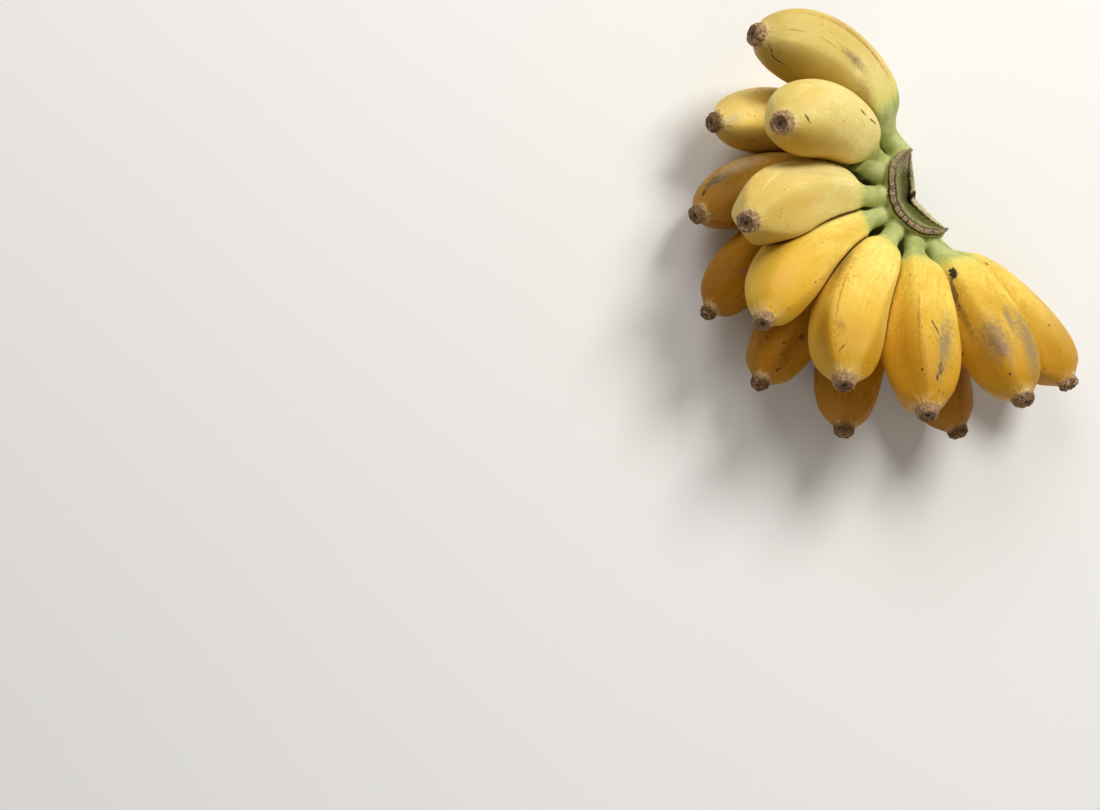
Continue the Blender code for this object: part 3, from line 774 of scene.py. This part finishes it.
# The marks on each peel. Each has its kind, the angle round the finger from the top, the share of the
# length, its length and width, and the angle between it and the finger's length.
Mark = namedtuple("Mark", "kind around share length width turn")
MARKS = {
    "banana_upper_1": [
        ("crease", 304, 0.761, 0.0190, 0.0014, 8), ("crease", 310, 0.622, 0.0190, 0.0015, -18),
        ("crease", 318, 0.412, 0.0400, 0.0022, 1), ("stain", 318, 0.560, 0.0700, 0.0050, 1),
        ("crease", 358, 0.848, 0.0180, 0.0013, 0), ("crease", 1, 0.669, 0.0280, 0.0013, -5),
        ("bruise", 358, 0.500, 0.0260, 0.0090, 2), ("stain", 20, 0.330, 0.0300, 0.0120, 0),
        ("crack", 58, 0.922, 0.0125, 0.0013, -59), ("crack", 70, 0.876, 0.0110, 0.0013, 2),
    ],
    "banana_upper_2": [
        ("scratch", 26, 0.902, 0.0110, 0.0011, -81), ("nick", 348, 0.389, 0.0071, 0.0012, -3),
        ("nick", 343, 0.286, 0.0091, 0.0014, 16), ("nick", 300, 0.925, 0.0012, 0.0010, 0),
    ],
    "banana_upper_3": [
        ("pale", 316, 0.754, 0.0330, 0.0018, 6), ("blush", 296, 0.800, 0.0280, 0.0110, 0),
        ("blush", 20, 0.640, 0.0500, 0.0130, 0), ("blush", 278, 0.850, 0.0240, 0.0060, -3),
        ("nick", 299, 0.253, 0.0040, 0.0018, 0),
    ],
    "banana_upper_4": [
        ("crease", 332, 0.526, 0.0091, 0.0020, -18), ("stain", 318, 0.480, 0.0300, 0.0080, -8),
        ("blush", 350, 0.800, 0.0260, 0.0130, 0), ("nick", 336, 0.320, 0.0020, 0.0010, 0),
    ],
    "banana_upper_5": [
        ("painted_shade", 300, 0.800, 0.0500, 0.0200, 0), ("crease", 322, 0.600, 0.0620, 0.0018, 0),
        ("smudge", 302, 0.400, 0.0440, 0.0150, 0), ("stain", 330, 0.780, 0.0140, 0.0080, 20),
        ("scratch", 332, 0.877, 0.0072, 0.0010, -52),
    ],
    "banana_upper_6": [
        ("crease", 340, 0.595, 0.0760, 0.0020, -3), ("painted_shade", 308, 0.720, 0.0840, 0.0300, 0),
        ("scuff", 23, 0.680, 0.0600, 0.0135, -9), ("rot_soft", 14, 0.815, 0.0110, 0.0048, 0),
        ("scratch", 7, 0.600, 0.0135, 0.0018, 29), ("nick", 8, 0.866, 0.0032, 0.0018, 0),
        ("nick", 338, 0.843, 0.0024, 0.0016, 0), ("nick", 20, 0.915, 0.0016, 0.0014, 0),
    ],
    "banana_upper_7": [
        ("painted_shade", 310, 0.760, 0.0600, 0.0220, 0), ("bruise", 343, 0.690, 0.0400, 0.0215, -6),
        ("bruise", 346, 0.760, 0.0130, 0.0080, 10), ("scuff", 43, 0.740, 0.0600, 0.0190, -4),
        ("scuff", 25, 0.590, 0.0300, 0.0070, -8), ("rot", 342, 0.226, 0.0070, 0.0052, 0),
        ("dry", 324, 0.330, 0.0240, 0.0052, -14), ("smudge", 318, 0.480, 0.0380, 0.0066, -6),
        ("nick", 282, 0.642, 0.0040, 0.0026, 0), ("nick", 336, 0.879, 0.0016, 0.0014, 0),
    ],
    "banana_upper_8": [
        ("painted_shade", 304, 0.700, 0.0760, 0.0280, 0), ("crack", 54, 0.098, 0.0050, 0.0012, 0),
        ("crack", 44, 0.132, 0.0050, 0.0012, -23), ("nick", 66, 0.530, 0.0016, 0.0013, 0),
        ("nick", 61, 0.593, 0.0016, 0.0013, 0),
    ],
    "banana_lower_1": [
        ("scuff", 63, 0.808, 0.0060, 0.0050, 0), ("bloom", 10, 0.930, 0.0160, 0.0130, 0),
        ("scuff", 34, 0.944, 0.0100, 0.0034, -58),
    ],
    "banana_lower_2": [
        ("rot_soft", 314, 0.835, 0.0210, 0.0080, -14), ("nick", 306, 0.919, 0.0040, 0.0024, 0),
        ("bloom", 312, 0.680, 0.0440, 0.0150, 0), ("nick", 39, 0.937, 0.0016, 0.0012, 0),
    ],
    "banana_lower_3": [
        ("crease", 349, 0.884, 0.0140, 0.0014, -7), ("bruise", 356, 0.776, 0.0080, 0.0050, 0),
    ],
    "banana_lower_4": [
        ("nick", 22, 0.915, 0.0030, 0.0024, 0), ("nick", 15, 0.727, 0.0060, 0.0028, 0),
        ("stain", 18, 0.700, 0.0260, 0.0110, 0), ("nick", 352, 0.800, 0.0018, 0.0014, 0),
        ("nick", 4, 0.850, 0.0016, 0.0013, 0),
    ],
    "banana_lower_5": [
        ("nick", 41, 0.866, 0.0016, 0.0012, 0),
    ],
}
# A kind of mark: its colour, how strongly it covers, how soft and how ragged its edge is, its depth.
MarkLook = namedtuple("MarkLook", "colour cover soft ragged depth")
MARK_LOOKS = {
    "crease": MarkLook(linear(158, 108, 36), 0.66, 0.95, 0.28, 0.25),
    "bruise": MarkLook(linear(136, 108, 78), 0.90, 0.92, 0.24, 0.02),
    "stain": MarkLook(linear(150, 112, 46), 0.55, 0.98, 0.25, 0.02),
    "blush": MarkLook(linear(226, 160, 58), 0.50, 1.00, 0.20, 0.00),
    "bloom": MarkLook(linear(228, 208, 166), 0.74, 1.00, 0.20, 0.00),
    # Painted shade on the facet of a finger that faces away from the light.
    "painted_shade": MarkLook(linear(172, 116, 8), 0.74, 1.00, 0.20, 0.00),
    "smudge": MarkLook(linear(120, 88, 44), 0.75, 0.98, 0.25, 0.02),
    "scuff": MarkLook(linear(138, 120, 86), 0.90, 0.98, 0.25, 0.02),
    "crack": MarkLook(linear(72, 50, 24), 0.90, 0.45, 0.40, 0.80),
    "scratch": MarkLook(linear(92, 68, 40), 0.85, 0.50, 0.40, 0.50),
    "nick": MarkLook(linear(60, 42, 22), 0.88, 0.45, 0.50, 0.40),
    "pale": MarkLook(linear(252, 242, 190), 0.40, 0.85, 0.30, -0.10),
    "rot": MarkLook(linear(34, 28, 24), 0.97, 0.30, 0.60, 0.90),
    "rot_soft": MarkLook(linear(84, 76, 60), 0.90, 0.65, 0.45, 0.10),
    "dry": MarkLook(linear(112, 88, 66), 0.88, 0.55, 0.45, 0.30),
}
GRAINY = 0.6                  # marks softer than this let the peel's grain through


def skin_green(shader):
    """The pedicels' green, placed in space so that the crown and the necks agree where they meet."""
    place = shader.place()
    broad = shader.noise(place, 130, 3.0, 0.55)
    fine = shader.noise(place, 1100, 3.0, 0.6)
    green = shader.mix(shader.spread(broad, 0.30, 0.70), NECK_GREEN, NECK_PALE)
    return shader.mix(shader.spread(fine, 0.60, 0.38, 0.0, 0.18), green, NECK_GREEN), fine


def shaded_side(finger):
    """The side that gets painted shade, away from the light, as a vector across the straightened finger."""
    across, above = directions_across(spine(finger, np.array([SHADE_SIDE_SHARE]))[1])
    side = np.array([above[0] @ SHADE_WAY, across[0] @ SHADE_WAY, 0.0])
    return tuple(side / np.linalg.norm(side) / (finger.girth / 2))


class Peel(Shader):
    """One finger's peel: the fields that its layers share, and a method for each layer."""

    def __init__(self, finger, number):
        super().__init__("peel_" + finger.name)
        self.finger = finger
        self.palette, self.green_reach, self.end_riper = RIPENESS[finger.name]
        self.straight = self.attribute("straight", "Vector")
        self.along = self.attribute("along")
        shift = (0.31 * number, 0.17 * number, 0.23 * number)
        self.fibre_place = self.scaled(self.straight, (1.0, 1.0, 0.045), shift)
        self.blotch_place = self.scaled(self.straight, (1.0, 1.0, 0.55), shift)
        self.fibres = self.noise(self.fibre_place, 1300, 4.0, 0.65)
        self.blotches = self.noise(self.blotch_place, 48, 4.0, 0.55)
        self.grain = self.noise(self.blotch_place, 480, 4.0, 0.62)

    def ripe_peel(self):
        """Soft mottling and fibres, painted shade on the side away from the light, a far end that has
        ripened further, brownish ridge lines.
        """
        light, deep = self.palette
        ripening = self.plus(self.times(self.along, -0.52), self.times(self.blotches, 1.1))
        colour = self.tint(deep, light, ripening, 0.02, 0.56)
        colour = self.tint(colour, FIBRE_PALE, self.fibres, 0.46, 0.74, 0.11)
        colour = self.tint(colour, deep, self.fibres, 0.52, 0.34, 0.25)
        colour = self.tint(colour, deep, self.grain, 0.58, 0.34, 0.42)
        # Painted shade on the side away from the light, together with the far end's ripening.
        toward_shade = self.vector("DOT_PRODUCT", "Value", self.straight, shaded_side(self.finger))
        tipward = self.plus(self.along, self.times(self.blotches, 0.35))
        shade_and_ripening = self.spread(toward_shade, 0.12, 0.92, 0.0, 0.78)
        shade_and_ripening = self.calc("MAXIMUM", shade_and_ripening, self.spread(tipward, 0.74, 1.06, 0.0, self.end_riper))
        colour = self.mix(shade_and_ripening, colour, SHADE_AND_RIPE_END[self.palette])
        ridge_line = self.spread(self.attribute("crest"), 0.93, 1.0)
        ridge_line = self.times(ridge_line, self.spread(self.blotches, 0.42, 0.64, 0.04, 0.40))
        return self.mix(ridge_line, colour, CREST_BROWN)

    def green_neck(self, colour):
        """Green on the neck and yellow-green beyond it, with an edge as ragged as the fibres."""
        uneven = self.plus(self.along, self.jitter(self.fibre_place, 300, 0.025))
        yellowing = self.spread(uneven, self.green_reach + 0.10, self.green_reach - 0.03)
        colour = self.mix(self.times(yellowing, 0.75), colour, GREEN_YELLOW)
        green, _ = skin_green(self)
        return self.tint(colour, green, uneven, self.green_reach, self.green_reach - 0.07)

    def freckles(self, colour):
        """Painted shade where neighbours press together, a few dark freckles and many fine pores."""
        # Painted shade where neighbours press, as deep as the squeeze.
        pressed_shade = self.spread(self.attribute("squeeze"), 0.0, 0.05, 0.0, 0.75)
        colour = self.mix(pressed_shade, colour, CONTACT_SHADE)
        freckled = FRECKLED.get(self.palette, MOST_FRECKLED)
        chance = self.noise(self.blotch_place, 80, 2.0)
        size = self.spread(chance, 0.50 - 0.14 * freckled, 0.78 - 0.14 * freckled, 0.0, 0.14)
        colour = self.mix(self.times(self.dots(self.blotch_place, 210.0, size), 0.70), colour, FRECKLE)
        chance = self.plus(self.noise(self.blotch_place, 110, 3.0), self.times(self.along, 0.16))
        size = self.spread(chance, 0.62 - 0.06 * freckled, 0.80 - 0.06 * freckled, 0.0, 0.22)
        return self.mix(self.times(self.dots(self.blotch_place, 560.0, size), 0.55), colour, PORE)

    def mark_cover(self, mark, wander):
        """How strongly a mark covers a place, from an ellipsoid on the straightened finger."""
        angle = math.radians(mark.around)
        radius = self.finger.girth / 2
        outward = Vector((math.cos(angle), math.sin(angle), 0.0))
        sideways = Vector((-math.sin(angle), math.cos(angle), 0.0))
        turn = math.radians(mark.turn)
        long_way = math.cos(turn) * Vector((0, 0, 1)) + math.sin(turn) * sideways
        axes = Matrix((outward.cross(long_way), outward, long_way)).transposed()
        look = MARK_LOOKS[mark.kind]
        place = self.node("ShaderNodeMapping", {
            "Vector": self.straight,
            "Location": radius * outward + Vector((0, 0, mark.share * self.finger.length)),
            "Rotation": axes.to_euler(),
            "Scale": (mark.width / 2, max(mark.length, radius) / 2, mark.length / 2),
        }, vector_type="TEXTURE")
        away = self.vector("LENGTH", "Value", place.outputs[0])
        away = self.plus(away, self.spread(wander, 0.2, 0.8, -look.ragged, look.ragged))
        return self.spread(away, 1.0, 1.0 - look.soft, 0.0, look.cover)

    def marks(self, colour):
        """The colour with the finger's marks on it, and how far they sink in."""
        wander = self.noise(self.straight, 420, 3.0, 0.6)
        sunk = 0.0
        for mark in map(Mark._make, MARKS.get(self.finger.name, ())):
            look = MARK_LOOKS[mark.kind]
            cover = self.mark_cover(mark, wander)
            if look.soft > GRAINY:
                cover = self.times(cover, self.spread(self.grain, 0.34, 0.60, 0.70, 1.0))
            colour = self.mix(cover, colour, look.colour)
            sunk = self.plus(sunk, self.times(cover, look.depth))
        return colour, sunk

    def dry_look(self):
        """The dried flower end's colour and relief: grey-brown, ringed, with a dark middle."""
        place = self.place()
        fine = self.noise(place, 1500, 4.0, 0.68)
        broad = self.noise(place, 520, 3.0, 0.6)
        across = self.vector("MULTIPLY", 0, self.straight, (1.0, 1.0, 0.0))
        radius = self.vector("LENGTH", "Value", across)
        rings = self.calc("SINE", self.plus(self.times(radius, 2600.0), self.times(broad, 9.0)))
        height = self.plus(fine, self.times(rings, 0.14))
        colour = self.mix(self.spread(height, 0.32, 0.66), DRY_DARK, DRY_LIGHT)
        colour = self.tint(colour, DRY_DARK, broad, 0.44, 0.60, 0.60)
        middle = self.times(self.spread(radius, 0.0075, 0.0030), 0.8)
        return self.mix(middle, colour, DRY_MIDDLE), height

    def flower_end(self, colour):
        """The colour with a tan collar and the dried end on it, the dried end's relief, and where it is."""
        dry, dry_height = self.dry_look()
        place = self.place()
        ragged = self.plus(self.along, self.jitter(place, 700, 0.011))
        patches = self.spread(self.noise(place, 200, 2.0, 0.5), 0.40, 0.66)
        creamy = self.times(self.spread(ragged, 0.905, 0.955), patches)
        creamy = self.times(creamy, 0.08 if self.palette in (SHADED_AMBER, BRONZE) else 0.32)
        colour = self.mix(creamy, colour, COLLAR_CREAM)
        collar = self.times(self.spread(ragged, 0.944, 0.958), 0.66)
        colour = self.mix(collar, colour, self.mix(patches, COLLAR, COLLAR_CREAM))
        colour = self.mix(self.times(self.spread(ragged, 0.952, 0.962), 0.6), colour, SCORCHED)
        drying = self.spread(ragged, 0.966, 0.980)
        return self.mix(drying, colour, dry), self.times(dry_height, drying), drying


def peel_material(finger, number):
    """A peel with all its layers."""
    peel = Peel(finger, number)
    colour, sunk = peel.marks(peel.freckles(peel.green_neck(peel.ripe_peel())))
    colour, dry_height, drying = peel.flower_end(colour)
    roughness = peel.spread(peel.fibres, 0.2, 0.8, 0.48, 0.60)
    roughness = peel.plus(roughness, peel.times(drying, 0.35), clamp=True)
    relief = peel.plus(peel.times(peel.fibres, 0.5), peel.times(peel.grain, 0.7))
    relief = peel.calc("SUBTRACT", relief, peel.times(sunk, 2.5))
    relief = peel.plus(relief, peel.times(dry_height, 3.0))
    return peel.finish(colour, roughness, 0.14 if peel.palette == SHADED_AMBER else 0.24, relief, PEEL_RELIEF)


class CrownSkin(Shader):
    """The crown's surface: the fields that its parts share, and a method for each part."""

    def __init__(self):
        super().__init__("crown_skin")
        self.cork, self.core, self.cut, self.depth, self.lip = map(self.attribute, CROWN_FIELDS)
        self.share = self.attribute("share")
        self.turn = self.attribute("turn")
        self.here = self.place()
        self.strands = self.noise(self.scaled(self.here, (1.0, 1.0, 0.12)), 900, 4.0, 0.6)
        self.crumbs = self.noise(self.here, 1500, 4.0, 0.7)
        self.ragged = self.jitter(self.here, 700, 0.22)
        self.stain = self.spread(self.roughened(self.share, 0.25), 0.24, 0.17)
        self.cork_face = self.mix(self.spread(self.crumbs, 0.34, 0.66), *CORK_FACE)

    def roughened(self, field, much=1.0):
        """A field with a ragged edge."""
        return self.plus(field, self.times(self.ragged, much))

    def flesh(self):
        """The cut face: pale by the rim, dark strands below, painted shade darkest in the notch, corky at
        one end.
        """
        pale = self.mix(self.spread(self.crumbs, 0.35, 0.65), *PALE_FLESH)
        dark = self.mix(self.spread(self.strands, 0.35, 0.66), *DARK_FLESH)
        flesh = self.mix(self.spread(self.roughened(self.depth, 0.5), 0.10, 0.52), pale, dark)
        broad = self.noise(self.here, 260, 3.0, 0.6)
        flesh = self.tint(flesh, OLIVE, broad, 0.40, 0.62, 0.4)
        # Painted shade, darkest deep in the notch.
        from_notch = self.spread(self.apart(self.share, NOTCH_SHARE), 0.075, 0.02)
        flesh = self.mix(self.times(from_notch, self.spread(self.depth, 0.45, 0.75)), flesh, NOTCH_SHADE)
        return self.mix(self.stain, flesh, self.cork_face)

    def bark(self):
        """The corky rim, streaked along and cracked across, and where its cracks are."""
        streak_place = {0: self.times(self.turn, 0.22), 1: self.times(self.core, 0.0016)}
        streaks = self.noise(self.node("ShaderNodeCombineXYZ", streak_place).outputs[0], 1900, 3.0, 0.6)
        bark = self.mix(self.spread(self.crumbs, 0.33, 0.66), *BARK)
        bark = self.tint(bark, STREAK, streaks, 0.50, 0.36, 0.75)
        bark = self.mix(self.stain, bark, self.cork_face)
        crack = 0.0
        sway = self.spread(self.noise(self.here, 500, 2.0), 0.2, 0.8, -0.0005, 0.0005)
        bent = self.plus(self.turn, sway)
        for angle, width in RIM_CRACKS:
            away = self.apart(bent, math.radians(angle) * CROWN_RADIUS)
            crack = self.calc("MAXIMUM", crack, self.spread(away, width, 0.3 * width))
        return self.mix(self.times(crack, 0.85), bark, CRACK), crack

    def cream(self):
        """The lip's bare flesh, with a dark split in it."""
        cream = self.mix(self.spread(self.crumbs, 0.3, 0.7), *CREAM)
        split = self.spread(self.roughened(self.apart(self.share, SPLIT_SHARE), 0.04), 0.022, 0.012)
        return self.mix(split, cream, LIP_SPLIT)


def crown_material():
    """Crown: pale green outside with painted shade in its hollows, brown-grey cork on the rim, dark olive
    strands on the cut, cream lip.
    """
    skin = CrownSkin()
    green, fine = skin_green(skin)
    # Painted shade: the green skin darkens in its hollows.
    crevice_shade = skin.spread(skin.attribute("crevice_shade"), 0.06, 0.55, 0.0, 0.85)
    colour = skin.mix(crevice_shade, green, CREVICE_SHADE)
    colour = skin.tint(colour, skin.flesh(), skin.roughened(skin.cut), 0.38, 0.62)
    colour = skin.tint(colour, LIP_EDGE, skin.roughened(skin.lip), 0.22, 0.42)
    colour = skin.tint(colour, skin.cream(), skin.roughened(skin.lip), 0.60, 0.80)
    outline = skin.mix(skin.times(skin.stain, 0.7), RIM_EDGE, skin.cork_face)
    colour = skin.tint(colour, outline, skin.roughened(skin.cork), 0.30, 0.60)
    bark, crack = skin.bark()
    colour = skin.tint(colour, bark, skin.roughened(skin.core, 0.8), 0.12, 0.34)
    dry = skin.plus(skin.cork, skin.plus(skin.cut, skin.lip), clamp=True)
    relief = skin.plus(skin.times(fine, 0.35), skin.times(skin.cut, skin.strands))
    relief = skin.plus(relief, skin.times(skin.cork, skin.calc("SUBTRACT", skin.crumbs, crack)))
    return skin.finish(colour, skin.spread(dry, 0.0, 1.0, 0.48, 0.85), 0.25, relief, CROWN_RELIEF)


FLOOR_REACH = 3.0
FLOOR_TONES = ((0.82, 0.82, 0.81, 1), (0.86, 0.86, 0.85, 1))


def make_floor():
    """A plain pale floor."""
    data = bpy.data.meshes.new("floor")
    corners = [(x * FLOOR_REACH, y * FLOOR_REACH, 0) for x, y in ((-1, -1), (1, -1), (1, 1), (-1, 1))]
    data.from_pydata(corners, [], [(0, 1, 2, 3)])
    shader = Shader("floor_paper")
    cloud = shader.noise(shader.place(), 2.0, 2.0)
    shader.set(shader.surface.inputs["Base Color"], shader.mix(cloud, *FLOOR_TONES))
    shader.surface.inputs["Roughness"].default_value = 0.9
    data.materials.append(shader.material)
    floor = add_object("floor", data)


# The soft lights: their place, size, power and colour. They all face the middle of the hand.
LIGHTS = {
    "key": ((0.82, 1.02, 1.58), 0.75, 33.5, (1.0, 0.98, 0.95)),
    "side": ((-0.50, 1.15, 1.20), 0.9, 9, (1.0, 0.98, 0.96)),
    "fill": ((0.05, -1.15, 0.80), 1.0, 3, (1.0, 0.97, 0.93)),
}
LIGHTS_FACE = Vector((0, 0, 0.03))
WORLD_COLOUR = (1.0, 0.96, 0.88, 1.0)
WORLD_STRENGTH = 0.20


def light_scene():
    scene = bpy.context.scene
    scene.view_settings.view_transform = "Standard"
    scene.world = bpy.data.worlds.new("studio")
    scene.world.use_nodes = True
    background = scene.world.node_tree.nodes["Background"].inputs
    background["Color"].default_value = WORLD_COLOUR
    background["Strength"].default_value = WORLD_STRENGTH
    for name, (place, size, power, colour) in LIGHTS.items():
        light = bpy.data.lights.new(name, "AREA")
        light.shape = "DISK"
        light.size = size
        light.energy = power
        light.color = colour
        item = add_object(name, light)
        item.location = place
        item.rotation_euler = (LIGHTS_FACE - Vector(place)).to_track_quat("-Z", "Y").to_euler()


# The camera looks almost straight down. Its axis meets the floor at LOOK_AT, left of the hand and
# in front of it, because the hand fills only the upper right of the frame.
LOOK_AT = (-0.17371, -0.08945, 0.0)
CAMERA_AWAY = 0.600
CAMERA_HEIGHT_ANGLE = 88
SENSOR = 36.0
LENS = 35.345


def place_camera():
    lens = bpy.data.cameras.new("camera")
    lens.sensor_width = SENSOR
    lens.lens = LENS
    lens.clip_start = 0.01
    camera = add_object("camera", lens)
    height_angle = math.radians(CAMERA_HEIGHT_ANGLE)
    camera.location = (
        LOOK_AT[0],
        LOOK_AT[1] - CAMERA_AWAY * math.cos(height_angle),
        CAMERA_AWAY * math.sin(height_angle),
    )
    camera.rotation_euler = (math.radians(90 - CAMERA_HEIGHT_ANGLE), 0, 0)
    bpy.context.scene.camera = camera


def main():
    place_camera()
    light_scene()
    make_floor()
    for number, finger in enumerate(HAND):
        piece = make_finger(finger)
        piece.data.materials.append(peel_material(finger, number))
        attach(piece, "root")
        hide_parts(finger.name)
    crown = make_crown()
    crown.data.materials.clear()
    crown.data.materials.append(crown_material())
    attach(crown, "root")
    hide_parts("crown")


main()
